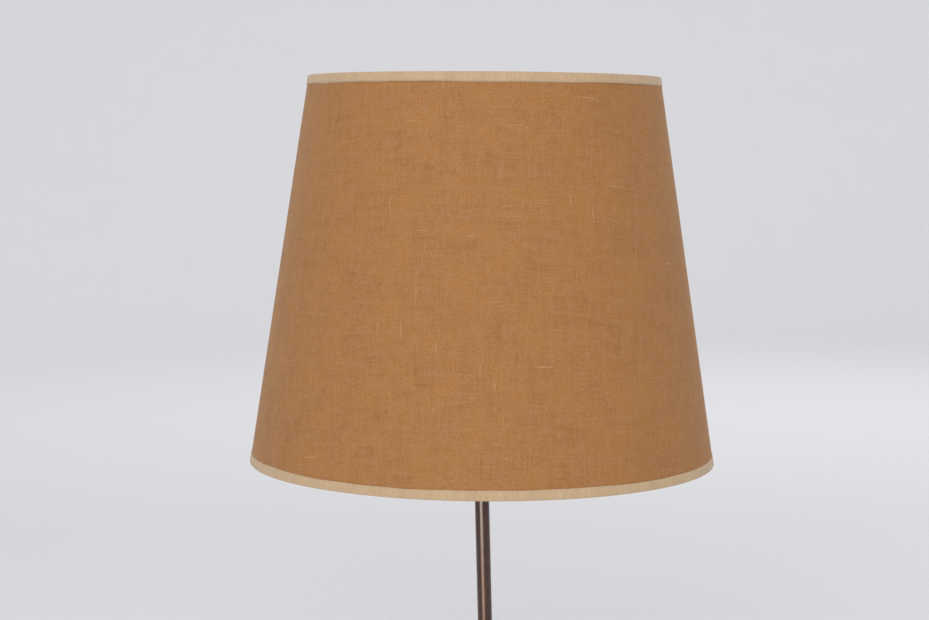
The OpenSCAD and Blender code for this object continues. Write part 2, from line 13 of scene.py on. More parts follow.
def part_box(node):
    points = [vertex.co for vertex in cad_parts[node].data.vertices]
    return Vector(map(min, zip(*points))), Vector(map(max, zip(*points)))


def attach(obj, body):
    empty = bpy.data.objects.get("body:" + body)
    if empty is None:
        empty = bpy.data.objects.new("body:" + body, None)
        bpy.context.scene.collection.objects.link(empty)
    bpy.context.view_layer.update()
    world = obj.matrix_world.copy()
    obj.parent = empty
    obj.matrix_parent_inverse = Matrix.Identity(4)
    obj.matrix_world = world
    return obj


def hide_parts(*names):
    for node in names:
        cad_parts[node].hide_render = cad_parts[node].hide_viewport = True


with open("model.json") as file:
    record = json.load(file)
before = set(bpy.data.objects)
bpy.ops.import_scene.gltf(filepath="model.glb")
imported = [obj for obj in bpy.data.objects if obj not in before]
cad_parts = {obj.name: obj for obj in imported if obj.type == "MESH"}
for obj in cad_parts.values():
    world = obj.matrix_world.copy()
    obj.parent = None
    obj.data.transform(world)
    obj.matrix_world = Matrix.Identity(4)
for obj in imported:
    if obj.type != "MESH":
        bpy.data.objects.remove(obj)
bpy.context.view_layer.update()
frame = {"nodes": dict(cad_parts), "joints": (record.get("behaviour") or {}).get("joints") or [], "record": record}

MM = 0.001

# ---------------------------------------------------------------- sizes taken from the frame

joints = {joint["name"]: joint for joint in frame["joints"]}
nodes = frame["nodes"]


def low(node):
    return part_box(node)[0]


def high(node):
    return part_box(node)[1]


# The shade rocks through twice its lean, from one stop to the other
LEAN = math.radians(-joints["shade_rock"]["range_deg"][0] / 2)
PIVOT = Vector(joints["shade_rock"]["pos_m"])
FITTER_RISE = 12 * MM
BOTTOM_R, TOP_R, SHADE_H = 200 * MM, 150 * MM, 330 * MM
CLOTH_T, LINER_T, TAPE_T = 0.7 * MM, 0.6 * MM, 0.6 * MM
TAPE_W = 8 * MM
WIRE_R = 1.75 * MM
SLOPE = math.atan2(BOTTOM_R - TOP_R, SHADE_H)

STEM_R = (high("stem_tube").x - low("stem_tube").x) / 2
FOOT_R = high("foot_cover").x
FOOT_TOP = high("foot_cover").z
HOLDER_Z = low("holder_cap").z
HOLDER_R = high("holder_cap").x
SKIRT_TOP = high("holder_skirt").z
BULB_Z = low("bulb_contact").z
BULB_TOP = high("bulb_glass").z
BULB_R = high("bulb_glass").x


def cloth_radius(z):
    """Radius of the cloth's outer face at a height above the shade's bottom rim."""
    return BOTTOM_R - (BOTTOM_R - TOP_R) * z / SHADE_H


# ---------------------------------------------------------------- camera, floor and lights

# Where the lens is, and how it is turned
CAMERA_AT = Vector((0, -1680 * MM, PIVOT.z - FITTER_RISE + 281 * MM))
CAMERA_YAW, CAMERA_PITCH, CAMERA_ROLL = 0.0066, 0.0896, -0.0252
CAMERA_LENS = 75.6


def set_camera():
    data = bpy.data.cameras.new("camera")
    data.lens = CAMERA_LENS
    data.sensor_width = 36
    data.clip_end = 60
    camera = bpy.data.objects.new("camera", data)
    bpy.context.scene.collection.objects.link(camera)
    camera.matrix_world = (
        Matrix.Translation(CAMERA_AT)
        @ Matrix.Rotation(CAMERA_YAW, 4, "Z")
        @ Matrix.Rotation(math.pi / 2 - CAMERA_PITCH, 4, "X")
        @ Matrix.Rotation(CAMERA_ROLL, 4, "Z")
    )
    bpy.context.scene.camera = camera


def area_light(name, place, aim, size, power, colour):
    data = bpy.data.lights.new(name, "AREA")
    data.shape = "RECTANGLE"
    data.size, data.size_y = size
    data.energy = power
    data.color = colour
    light = bpy.data.objects.new(name, data)
    bpy.context.scene.collection.objects.link(light)
    light.location = place
    light.visible_camera = False
    light.rotation_euler = (Vector(aim) - Vector(place)).to_track_quat("-Z", "Y").to_euler()
    return light


def studio_sweep():
    """A pale floor that sweeps up into a wall all round, far enough out for every view."""
    floor_r, sweep_r, wall_top = 4.6, 1.6, 3.4
    deselect()
    bpy.ops.mesh.primitive_circle_add(vertices=96, radius=floor_r, fill_type="NGON")
    sweep = bpy.context.object
    sweep.name = "studio_sweep"
    bpy.ops.object.mode_set(mode="EDIT")
    radius, height = floor_r, 0.0
    steps = [(floor_r + sweep_r * math.sin(a), sweep_r * (1 - math.cos(a)))
             for a in (math.radians(10 * i) for i in range(1, 10))] + [(floor_r + sweep_r, wall_top)]
    for next_radius, next_height in steps:
        bpy.ops.mesh.extrude_edges_move(TRANSFORM_OT_translate={"value": (0, 0, next_height - height)})
        bpy.ops.transform.resize(value=(next_radius / radius, next_radius / radius, 1),
                                 center_override=(0, 0, next_height))
        radius, height = next_radius, next_height
    bpy.ops.mesh.select_all(action="SELECT")
    bpy.ops.mesh.normals_make_consistent(inside=True)
    bpy.ops.object.mode_set(mode="OBJECT")
    bpy.ops.object.shade_smooth()
    sweep.data.materials.append(studio_paper())


def studio_lights():
    """Soft light from all round, and a strip on the left that only draws the gloss line down the tube."""
    world = bpy.data.worlds.new("studio_air")
    bpy.context.scene.world = world
    world.use_nodes = True
    air = world.node_tree.nodes["Background"]
    air.inputs["Color"].default_value = (0.965, 0.965, 1.0, 1)
    air.inputs["Strength"].default_value = 0.82
    gloss_strip = area_light("gloss_strip", (-0.46, -1.42, 1.0), (0, 0, 1.0), (1.0, 1.96), 58,
                             (0.90, 1.0, 0.95))
    gloss_strip.visible_diffuse = False
    area_light("broad_front", (-0.35, -3.1, 2.0), (0, 0, 0.5), (2.2, 1.8), 50, (1.0, 0.985, 0.97))
    area_light("back_fill", (1.6, 2.9, 2.2), (0, 0, 0.4), (1.8, 1.4), 12, (1, 1, 1))
    area_light("wall_wash", (0, 2.6, 2.6), (0, 6.2, 1.3), (4.0, 0.8), 20, (1, 1, 1))


# ---------------------------------------------------------------- material building blocks

def add(tree, kind, inputs=(), **settings):
    """Adds a shader node. inputs is {socket: a value or another node's output}."""
    node = tree.nodes.new(kind)
    for name, value in settings.items():
        setattr(node, name, value)
    for name, value in dict(inputs).items():
        join(tree, value, node.inputs[name])
    return node


def join(tree, value, socket):
    """Links another node's output to a socket, or sets the socket to a plain value."""
    if isinstance(value, bpy.types.NodeSocket):
        tree.links.new(value, socket)
    elif socket.type == "RGBA" and len(value) == 3:
        socket.default_value = (*value, 1)
    else:
        socket.default_value = value


def calc(tree, operation, first, second=0.0, third=0.0):
    node = tree.nodes.new("ShaderNodeMath")
    node.operation = operation
    for socket, value in zip(node.inputs, (first, second, third)):
        join(tree, value, socket)
    return node.outputs[0]


def spread(tree, value, start, end, low_value=0.0, high_value=1.0):
    """Stretches a value from start..end to low_value..high_value, held at both ends."""
    return add(tree, "ShaderNodeMapRange", {0: value, 1: start, 2: end, 3: low_value, 4: high_value},
               interpolation_type="SMOOTHSTEP").outputs[0]


def blend(tree, amount, first, second, kind="MIX"):
    """Mixes two colours by an amount from 0 to 1."""
    node = add(tree, "ShaderNodeMix", data_type="RGBA", blend_type=kind, clamp_result=True)
    join(tree, amount, node.inputs[0])
    join(tree, first, node.inputs[6])
    join(tree, second, node.inputs[7])
    return node.outputs[2]


def blend_value(tree, amount, first, second):
    """Mixes two plain values by an amount from 0 to 1."""
    node = add(tree, "ShaderNodeMix", data_type="FLOAT")
    join(tree, amount, node.inputs[0])
    join(tree, first, node.inputs[2])
    join(tree, second, node.inputs[3])
    return node.outputs[0]


def noise(tree, vector, scale, detail=2.0, roughness=0.5):
    return add(tree, "ShaderNodeTexNoise", {"Vector": vector, "Scale": scale, "Detail": detail,
                                            "Roughness": roughness}).outputs["Fac"]


def scaled(tree, vector, scale, turn=0.0):
    """A place stretched by a scale on each axis, and turned about Z first."""
    turned_place = add(tree, "ShaderNodeVectorRotate", {"Vector": vector, "Angle": turn}).outputs[0]
    return add(tree, "ShaderNodeVectorMath", {0: turned_place, 1: scale}, operation="MULTIPLY").outputs[0]


def vector_of(tree, x, y, z=0.0):
    return add(tree, "ShaderNodeCombineXYZ", {"X": x, "Y": y, "Z": z}).outputs[0]


def shader_group(name, inputs, outputs):
    """A node group with named inputs [(name, kind, default)] and outputs [(name, kind)]."""
    group = bpy.data.node_groups.new(name, "ShaderNodeTree")
    for label, kind, default in inputs:
        socket = group.interface.new_socket(label, in_out="INPUT", socket_type="NodeSocket" + kind)
        if default is not None:
            socket.default_value = default
    for label, kind in outputs:
        group.interface.new_socket(label, in_out="OUTPUT", socket_type="NodeSocket" + kind)
    return group, group.nodes.new("NodeGroupInput"), group.nodes.new("NodeGroupOutput")


def use(tree, group, inputs):
    node = tree.nodes.new("ShaderNodeGroup")
    node.node_tree = group
    for name, value in inputs.items():
        join(tree, value, node.inputs[name])
    return node


def new_material(name, colour, **sockets):
    """A material with its surface shader; sockets are fixed values, by name with _ for a space."""
    material = bpy.data.materials.new(name)
    material.use_nodes = True
    material.diffuse_color = (*colour[:3], 1)
    tree = material.node_tree
    surface = tree.nodes["Principled BSDF"]
    surface.inputs["Base Color"].default_value = (*colour[:3], 1)
    for label, value in sockets.items():
        surface.inputs[label.replace("_", " ")].default_value = value
    return material, tree, surface


def object_place(tree):
    return add(tree, "ShaderNodeTexCoord").outputs["Object"]


def bump(tree, surface, height, depth, strength):
    """Relief of a depth in metres."""
    node = add(tree, "ShaderNodeBump", {"Height": height, "Distance": depth, "Strength": strength})
    tree.links.new(node.outputs[0], surface.inputs["Normal"])


# ---------------------------------------------------------------- shared effects

def woven_yarns():
    """Plain weave of uneven yarns. The vector runs in metres: X along the weft, Y along the warp."""
    group, given, result = shader_group(
        "woven_yarns",
        [("Vector", "Vector", None), ("Yarns per metre", "Float", 1000.0), ("Wander", "Float", 0.3),
         ("Slub length", "Float", 0.02)],
        [("Height", "Float"), ("Tone", "Float"), ("Slub", "Float"), ("Gap", "Float")])
    place = given.outputs["Vector"]
    count = given.outputs["Yarns per metre"]
    axes = add(group, "ShaderNodeSeparateXYZ", {0: place}).outputs
    moved_place = add(group, "ShaderNodeVectorMath", {0: place, 1: (3.1, 1.7, 0.4)}).outputs[0]
    wander = calc(group, "MULTIPLY", given.outputs["Wander"], 6)
    wander_x = calc(group, "SUBTRACT", noise(group, place, 45, 3), 0.5)
    wander_y = calc(group, "SUBTRACT", noise(group, moved_place, 45, 3), 0.5)
    across = calc(group, "MULTIPLY_ADD", axes[0], count, calc(group, "MULTIPLY", wander_x, wander))
    along = calc(group, "MULTIPLY_ADD", axes[1], count, calc(group, "MULTIPLY", wander_y, wander))
    warp, weft = calc(group, "FLOOR", across), calc(group, "FLOOR", along)
    warp_side = calc(group, "MULTIPLY_ADD", calc(group, "FRACT", across), 2, -1)
    weft_side = calc(group, "MULTIPLY_ADD", calc(group, "FRACT", along), 2, -1)
    warp_round = calc(group, "SUBTRACT", 1, calc(group, "MULTIPLY", warp_side, warp_side))
    weft_round = calc(group, "SUBTRACT", 1, calc(group, "MULTIPLY", weft_side, weft_side))
    half_sum = calc(group, "MULTIPLY", calc(group, "ADD", warp, weft), 0.5)
    over = calc(group, "MULTIPLY", calc(group, "FRACT", half_sum), 2)
    slow_along = calc(group, "DIVIDE", axes[1], given.outputs["Slub length"])
    slow_across = calc(group, "DIVIDE", axes[0], given.outputs["Slub length"])
    warp_grain = vector_of(group, calc(group, "MULTIPLY", warp, 1.37), slow_along, 2.0)
    weft_grain = vector_of(group, slow_across, calc(group, "MULTIPLY", weft, 1.37), 9.0)
    warp_tone, weft_tone = noise(group, warp_grain, 1.0, 1), noise(group, weft_grain, 1.0, 1)
    tone = blend_value(group, over, weft_tone, warp_tone)
    warp_slub = spread(group, warp_tone, 0.70, 0.82)
    weft_slub = spread(group, weft_tone, 0.70, 0.82)
    slub = calc(group, "MAXIMUM", warp_slub, weft_slub)
    height = blend_value(group, over, weft_round, warp_round)
    group.links.new(calc(group, "MULTIPLY_ADD", slub, 0.6, height), result.inputs["Height"])
    group.links.new(tone, result.inputs["Tone"])
    group.links.new(slub, result.inputs["Slub"])
    # Gap: how far a place lies down between the yarns; the cloth and tape use it to paint shade there
    group.links.new(calc(group, "SUBTRACT", 1, calc(group, "MAXIMUM", warp_round, weft_round)),
                    result.inputs["Gap"])
    return group


def handled_surface():
    """Wear of a handled surface: soft blotches, fine scratches and dust that lies on what faces up."""
    group, given, result = shader_group(
        "handled_surface",
        [("Vector", "Vector", None), ("Blotch size", "Float", 0.03), ("Scratch size", "Float", 0.002)],
        [("Blotch", "Float"), ("Scratch", "Float"), ("Dust", "Float")])
    place = given.outputs["Vector"]
    blotch = noise(group, place, calc(group, "DIVIDE", 1, given.outputs["Blotch size"]), 4, 0.6)
    stretched = scaled(group, place, (1, 1, 0.08), 0.3)
    scratch = noise(group, stretched, calc(group, "DIVIDE", 1, given.outputs["Scratch size"]), 2, 0.6)
    facing = add(group, "ShaderNodeNewGeometry").outputs["Normal"]
    upward = add(group, "ShaderNodeSeparateXYZ", {0: facing}).outputs["Z"]
    dust = calc(group, "MULTIPLY", spread(group, upward, 0.5, 1.0),
                spread(group, noise(group, place, 260, 5, 0.7), 0.42, 0.72))
    group.links.new(spread(group, blotch, 0.35, 0.68), result.inputs["Blotch"])
    group.links.new(spread(group, scratch, 0.5, 0.75), result.inputs["Scratch"])
    group.links.new(dust, result.inputs["Dust"])
    return group


# ---------------------------------------------------------------- the lamp's materials

def wear_of(tree, effects, place, blotch_size, scratch_size):
    """The wear's blotches, scratches and dust at a place, with the two sizes in metres."""
    return use(tree, effects["wear"], {"Vector": place, "Blotch size": blotch_size,
                                       "Scratch size": scratch_size}).outputs


def studio_paper():
    material, _, surface = new_material("studio_paper", (0.78, 0.78, 0.787), Roughness=0.95)
    surface.inputs["Specular IOR Level"].default_value = 0.1
    return material


def linen_cloth(effects):
    """Brown slubbed linen, a little faded in patches, with soft pale slubs in both directions and painted shade
    between its yarns.
    """
    material, tree, surface = new_material("linen_cloth", (0.40, 0.190, 0.070), Roughness=0.92,
                                           Sheen_Weight=0.3, Sheen_Roughness=0.2)
    surface.inputs["Specular IOR Level"].default_value = 0.12
    surface.inputs["Sheen Tint"].default_value = (1.0, 0.88, 0.70, 1)
    flat_cut = add(tree, "ShaderNodeUVMap", uv_map="flat_cut").outputs[0]
    yarns = use(tree, effects["weave"], {"Vector": flat_cut, "Yarns per metre": 1250.0,
                                         "Wander": 0.7, "Slub length": 0.034}).outputs
    patch, tint = noise(tree, flat_cut, 34, 5, 0.62), noise(tree, flat_cut, 120, 3, 0.6)
    fuzz = noise(tree, flat_cut, 620, 3, 0.6)
    streak = noise(tree, scaled(tree, flat_cut, (170, 14, 1)), 1, 3)
    cross_streak = noise(tree, scaled(tree, flat_cut, (16, 190, 1)), 1, 3)
    body = blend(tree, spread(tree, yarns["Tone"], 0.30, 0.70), (0.330, 0.148, 0.048), (0.455, 0.214, 0.080))
    body = blend(tree, spread(tree, patch, 0.38, 0.62, 0, 0.7), body, (0.440, 0.205, 0.058))
    body = blend(tree, spread(tree, tint, 0.42, 0.64, 0, 0.55), body, (0.440, 0.218, 0.100))
    body = blend(tree, spread(tree, streak, 0.42, 0.72, 0, 0.13), body, (0.300, 0.136, 0.044))
    body = blend(tree, spread(tree, cross_streak, 0.45, 0.75, 0, 0.15), body, (0.470, 0.240, 0.104))
    body = blend(tree, spread(tree, fuzz, 0.36, 0.64, 0.30, 0), body, (0.270, 0.122, 0.040))
    body = blend(tree, spread(tree, fuzz, 0.50, 0.68, 0, 0.20), body, (0.560, 0.300, 0.135))
    # Painted shade: the cloth is darkened in the gaps between its yarns
    body = blend(tree, calc(tree, "MULTIPLY", yarns["Gap"], 0.22), body, (0.23, 0.10, 0.04))
    body = blend(tree, calc(tree, "MULTIPLY", yarns["Slub"], 0.28), body, (0.72, 0.45, 0.24))
    tree.links.new(body, surface.inputs["Base Color"])
    bump(tree, surface, yarns["Height"], 0.00016, 0.7)
    return material


def cotton_tape(effects):
    """Cream cotton tape cut on the bias, faintly soiled, with creases where it turns the rim and painted shade
    between its yarns.
    """
    material, tree, surface = new_material("cotton_tape", (0.51, 0.38, 0.245), Roughness=0.88,
                                           Sheen_Weight=0.2, Sheen_Roughness=0.5)
    surface.inputs["Specular IOR Level"].default_value = 0.15
    flat_cut = add(tree, "ShaderNodeUVMap", uv_map="flat_cut").outputs[0]
    bias = scaled(tree, flat_cut, (1, 1, 1), math.radians(45))
    yarns = use(tree, effects["weave"], {"Vector": bias, "Yarns per metre": 2200.0,
                                         "Wander": 0.2, "Slub length": 0.006}).outputs
    soil = noise(tree, flat_cut, 38, 5, 0.65)
    crease = noise(tree, scaled(tree, flat_cut, (190, 22, 1)), 1, 2)
    body = blend(tree, spread(tree, yarns["Tone"], 0.35, 0.65), (0.510, 0.353, 0.204), (0.605, 0.432, 0.262))
    body = blend(tree, spread(tree, soil, 0.38, 0.72, 0, 0.5), body, (0.46, 0.310, 0.185))
    # Painted shade: the tape is darkened in the gaps between its yarns
    body = blend(tree, calc(tree, "MULTIPLY", yarns["Gap"], 0.25), body, (0.32, 0.22, 0.13))
    tree.links.new(body, surface.inputs["Base Color"])
    height = calc(tree, "MULTIPLY_ADD", yarns["Height"], 0.18, crease)
    bump(tree, surface, height, 0.00045, 0.7)
    return material


def bronze_patina(effects):
    """Dark bronzed metal under lacquer, brushed round its axis and rubbed paler in places."""
    material, tree, surface = new_material("bronze_patina", (0.06, 0.04, 0.035), Metallic=0.8,
                                           Roughness=0.36, Anisotropic=0.9, Anisotropic_Rotation=0.25,
                                           Coat_Weight=0.8, Coat_Roughness=0.2)
    place = object_place(tree)
    wear = wear_of(tree, effects, place, 0.035, 0.0016)
    grain = noise(tree, scaled(tree, place, (60, 60, 2600)), 1, 2)
    body = blend(tree, wear["Blotch"], (0.058, 0.021, 0.012), (0.088, 0.038, 0.022))
    body = blend(tree, calc(tree, "MULTIPLY", wear["Scratch"], 0.12), body, (0.18, 0.125, 0.09))
    body = blend(tree, calc(tree, "MULTIPLY", wear["Dust"], 0.16), body, (0.30, 0.28, 0.25))
    tree.links.new(body, surface.inputs["Base Color"])
    rough = spread(tree, wear["Blotch"], 0, 1, 0.33, 0.42)
    tree.links.new(calc(tree, "MULTIPLY_ADD", wear["Dust"], 0.2, rough), surface.inputs["Roughness"])
    bump(tree, surface, grain, 0.00002, 0.35)
    turn = add(tree, "ShaderNodeTangent", direction_type="RADIAL", axis="Z")
    tree.links.new(turn.outputs[0], surface.inputs["Tangent"])
    return material


def moulded(effects, name, colour, paler, roughness=0.38):
    """Moulded plastic or rubber with a faint mottle and a little dust."""
    material, tree, surface = new_material(name, colour, Roughness=roughness)
    wear = wear_of(tree, effects, object_place(tree), 0.012, 0.0012)
    body = blend(tree, calc(tree, "MULTIPLY", wear["Blotch"], 0.6), colour, paler)
    body = blend(tree, calc(tree, "MULTIPLY", wear["Dust"], 0.10), body, (0.35, 0.33, 0.30))
    tree.links.new(body, surface.inputs["Base Color"])
    rough = spread(tree, wear["Scratch"], 0, 1, roughness, roughness + 0.12)
    tree.links.new(rough, surface.inputs["Roughness"])
    bump(tree, surface, wear["Scratch"], 0.00002, 0.3)
    return material


def bare_metal(effects, name, colour, tarnish, roughness=0.28):
    """Stamped, turned or plated metal, dulled in patches."""
    material, tree, surface = new_material(name, colour, Metallic=1.0, Roughness=roughness)
    wear = wear_of(tree, effects, object_place(tree), 0.008, 0.0008)
    body = blend(tree, calc(tree, "MULTIPLY", wear["Blotch"], 0.55), colour, tarnish)
    tree.links.new(body, surface.inputs["Base Color"])
    rough = spread(tree, wear["Blotch"], 0, 1, roughness, roughness + 0.18)
    tree.links.new(rough, surface.inputs["Roughness"])
    bump(tree, surface, wear["Scratch"], 0.00002, 0.35)
    return material


def white_enamel(effects):
    """Stove enamel over steel wire, yellowed a little, with orange-peel and a few specks."""
    material, tree, surface = new_material("white_enamel", (0.78, 0.76, 0.70), Roughness=0.35,
                                           Coat_Weight=0.3)
    place = object_place(tree)
    wear = wear_of(tree, effects, place, 0.02, 0.001)
    speck = spread(tree, noise(tree, place, 900, 2), 0.74, 0.80)
    body = blend(tree, calc(tree, "MULTIPLY", wear["Blotch"], 0.7), (0.79, 0.775, 0.72), (0.72, 0.69, 0.61))
    body = blend(tree, calc(tree, "MULTIPLY", speck, 0.6), body, (0.24, 0.16, 0.10))
    tree.links.new(body, surface.inputs["Base Color"])
    bump(tree, surface, noise(tree, place, 700, 2), 0.00006, 0.4)
    return material


def liner_film():
    """The stiff backing of the cloth: warm white film with the weave printing through it."""
    material, tree, surface = new_material("liner_film", (0.78, 0.70, 0.56), Roughness=0.55)
    place = object_place(tree)
    patch = noise(tree, place, 9, 4, 0.6)
    show = noise(tree, place, 900, 2, 0.6)
    body = blend(tree, spread(tree, patch, 0.35, 0.7), (0.80, 0.735, 0.61), (0.765, 0.69, 0.555))
    body = blend(tree, spread(tree, show, 0.4, 0.7, 0, 0.25), body, (0.66, 0.56, 0.42))
    tree.links.new(body, surface.inputs["Base Color"])
    bump(tree, surface, show, 0.00005, 0.4)
    return material


def wool_felt():
    """Dense dark green felt with loose fibres."""
    material, tree, surface = new_material("wool_felt", (0.05, 0.075, 0.05), Roughness=0.97,
                                           Sheen_Weight=0.5, Sheen_Roughness=0.6)
    surface.inputs["Specular IOR Level"].default_value = 0.1
    place = object_place(tree)
    fibre = noise(tree, place, 1500, 6, 0.75)
    cloud = noise(tree, place, 60, 4, 0.6)
    body = blend(tree, spread(tree, fibre, 0.35, 0.68), (0.030, 0.050, 0.033), (0.085, 0.115, 0.080))
    body = blend(tree, spread(tree, cloud, 0.4, 0.7, 0, 0.35), body, (0.045, 0.060, 0.042))
    tree.links.new(body, surface.inputs["Base Color"])
    bump(tree, surface, calc(tree, "ADD", fibre, cloud), 0.0006, 0.8)
    return material


def cast_iron():
    """Rough sand-cast iron under thin black paint."""
    material, tree, surface = new_material("cast_iron", (0.05, 0.05, 0.053), Roughness=0.7, Metallic=0.3)
    place = object_place(tree)
    sand = noise(tree, place, 420, 5, 0.7)
    rust = spread(tree, noise(tree, place, 45, 5, 0.7), 0.60, 0.74)
    body = blend(tree, spread(tree, sand, 0.3, 0.7), (0.035, 0.035, 0.038), (0.075, 0.073, 0.073))
    body = blend(tree, calc(tree, "MULTIPLY", rust, 0.6), body, (0.13, 0.055, 0.025))
    tree.links.new(body, surface.inputs["Base Color"])
    bump(tree, surface, sand, 0.0004, 0.7)
    return material


def glazed(name, colour, shade):
    """Glazed porcelain or fused glass, slightly uneven."""
    material, tree, surface = new_material(name, colour, Roughness=0.12, Coat_Weight=0.5)
    place = object_place(tree)
    uneven = noise(tree, place, 160, 3)
    speck = spread(tree, noise(tree, place, 1300, 2), 0.73, 0.78)
    body = blend(tree, spread(tree, uneven, 0.3, 0.7), colour, shade)
    body = blend(tree, calc(tree, "MULTIPLY", speck, 0.5), body, (0.20, 0.15, 0.11))
    tree.links.new(body, surface.inputs["Base Color"])
    bump(tree, surface, uneven, 0.0003, 0.25)
    return material


def clear_glass():
    material, tree, surface = new_material("clear_glass", (0.97, 0.98, 0.98), Roughness=0.02, IOR=1.47)
    surface.inputs["Transmission Weight"].default_value = 1.0
    uneven = noise(tree, object_place(tree), 55, 2)
    bump(tree, surface, uneven, 0.0006, 0.12)
    return material


def coiled_tungsten():
    material, tree, surface = new_material("coiled_tungsten", (0.32, 0.31, 0.30), Metallic=1.0,
                                           Roughness=0.4)
    place = object_place(tree)
    mottle = noise(tree, place, 4000, 3)
    body = blend(tree, mottle, (0.22, 0.215, 0.21), (0.42, 0.41, 0.40))
    tree.links.new(body, surface.inputs["Base Color"])
    return material


def lamp_materials():
    effects = {"weave": woven_yarns(), "wear": handled_surface()}
    return {
        "shade_cloth": linen_cloth(effects),
        "trim_tape": cotton_tape(effects),
        "bronzed_metal": bronze_patina(effects),
        "black_plastic": moulded(effects, "dark_bakelite", (0.020, 0.016, 0.014), (0.040, 0.028, 0.022)),
        "black_rubber": moulded(effects, "black_rubber", (0.022, 0.022, 0.022), (0.04, 0.04, 0.04), 0.6),
        "white_plastic": moulded(effects, "ivory_plastic", (0.78, 0.76, 0.68), (0.70, 0.66, 0.56), 0.35),
        "brown_insulation": moulded(effects, "brown_insulation", (0.16, 0.06, 0.025),
                                    (0.22, 0.09, 0.04), 0.45),
        "blue_insulation": moulded(effects, "blue_insulation", (0.04, 0.14, 0.42),
                                   (0.07, 0.20, 0.50), 0.45),
        "brass": bare_metal(effects, "stamped_brass", (0.78, 0.57, 0.27), (0.50, 0.34, 0.15)),
        "nickelled_brass": bare_metal(effects, "nickel_plate", (0.72, 0.69, 0.62), (0.52, 0.49, 0.42)),
        "plated_steel": bare_metal(effects, "zinc_plate", (0.62, 0.62, 0.62), (0.46, 0.46, 0.47), 0.32),
        "white_steel": white_enamel(effects),
        "shade_liner": liner_film(),
        "felt": wool_felt(),
        "cast_iron": cast_iron(),
        "porcelain": glazed("porcelain", (0.84, 0.83, 0.79), (0.78, 0.76, 0.71)),
        "black_glass": glazed("black_glass", (0.015, 0.015, 0.016), (0.03, 0.03, 0.03)),
        "clear_glass": clear_glass(),
        "tungsten": coiled_tungsten(),
    }


# ---------------------------------------------------------------- modelling helpers

def deselect():
    if bpy.context.object and bpy.context.object.mode != "OBJECT":
        bpy.ops.object.mode_set(mode="OBJECT")
    bpy.ops.object.select_all(action="DESELECT")


def choose(piece):
    deselect()
    piece.select_set(True)
    bpy.context.view_layer.objects.active = piece


def apply_place(piece):
    choose(piece)
    bpy.ops.object.transform_apply(location=True, rotation=True, scale=True)


def apply_all(piece):
    choose(piece)
    for modifier in list(piece.modifiers):
        bpy.ops.object.modifier_apply(modifier=modifier.name)


def put(piece, place):
    """Moves a piece by a matrix and settles the move into its mesh."""
    piece.matrix_world = place @ piece.matrix_world
    apply_place(piece)


def shade_place():
    """Takes the shade's own upright frame to where it hangs, leaning on its fitter ring."""
    return (Matrix.Translation(PIVOT) @ Matrix.Rotation(LEAN, 4, "Y")
            @ Matrix.Translation((0, 0, -FITTER_RISE)))


def arc(centre, radius, start, end, steps):
    """Points of a rounding, by angle in degrees from the outward direction."""
    for i in range(steps + 1):
        a = math.radians(start + (end - start) * i / steps)
        yield centre[0] + radius * math.cos(a), centre[1] + radius * math.sin(a)


def turned(name, outline, segments=128, closed=True, smooth=35):
    """A turned piece. One ring is drawn out from point to point of its outline [(radius, height)]."""
    on_axis = 1e-6
    outline = [(max(r, on_axis), z) for r, z in outline]
    deselect()
    radius, height = outline[0]
    bpy.ops.mesh.primitive_circle_add(vertices=segments, radius=radius, location=(0, 0, height))
    piece = bpy.context.object
    piece.name = name
    bpy.ops.object.transform_apply(location=True, rotation=True, scale=True)
    bpy.ops.object.mode_set(mode="EDIT")
    bpy.ops.mesh.select_all(action="SELECT")
    for next_radius, next_height in outline[1:] + (outline[:1] if closed else []):
        bpy.ops.mesh.extrude_edges_move(TRANSFORM_OT_translate={"value": (0, 0, next_height - height)})
        ratio = next_radius / radius
        bpy.ops.transform.resize(value=(ratio, ratio, 1), center_override=(0, 0, next_height))
        radius, height = next_radius, next_height
    bpy.ops.mesh.select_all(action="SELECT")
    bpy.ops.mesh.remove_doubles(threshold=4e-6)
    bpy.ops.mesh.normals_make_consistent(inside=False)
    bpy.ops.object.mode_set(mode="OBJECT")
    bpy.ops.object.shade_smooth_by_angle(angle=math.radians(smooth))
    return piece


def thread_ridge(name, root, crest, pitch, bottom, top, steps=72):
    """A screw thread: a diamond section carried up round the axis, its inner half sunk in the wall."""
    turns = math.floor((top - bottom) / pitch - 0.8)
    deselect()
    bpy.ops.mesh.primitive_circle_add(vertices=4, radius=1, fill_type="NGON",
                                      location=(root, 0, bottom + 0.4 * pitch), rotation=(math.pi / 2, 0, 0))
    ridge = bpy.context.object
    ridge.name = name
    ridge.scale = (crest - root, 0.42 * pitch, 1)
    bpy.ops.object.transform_apply(location=True, rotation=True, scale=True)
    screw = ridge.modifiers.new("screw", "SCREW")
    screw.angle, screw.screw_offset, screw.iterations = 2 * math.pi, pitch, turns
    screw.steps = screw.render_steps = steps
    screw.use_merge_vertices = False
    bpy.ops.object.modifier_apply(modifier="screw")
    bpy.ops.object.mode_set(mode="EDIT")
    bpy.ops.mesh.select_all(action="SELECT")
    bpy.ops.mesh.remove_doubles(threshold=2e-6)
    bpy.ops.mesh.select_all(action="DESELECT")
    bpy.ops.mesh.select_non_manifold(extend=False, use_wire=False, use_boundary=True,
                                     use_multi_face=False, use_non_contiguous=False, use_verts=False)
    bpy.ops.mesh.fill_holes(sides=4)
    bpy.ops.mesh.select_all(action="SELECT")
    bpy.ops.mesh.normals_make_consistent(inside=False)
    bpy.ops.object.mode_set(mode="OBJECT")
    bpy.ops.object.shade_smooth_by_angle(angle=math.radians(50))
    return ridge


def joined(first, *others):
    choose(first)
    for other in others:
        other.select_set(True)
    bpy.ops.object.join()
    return first


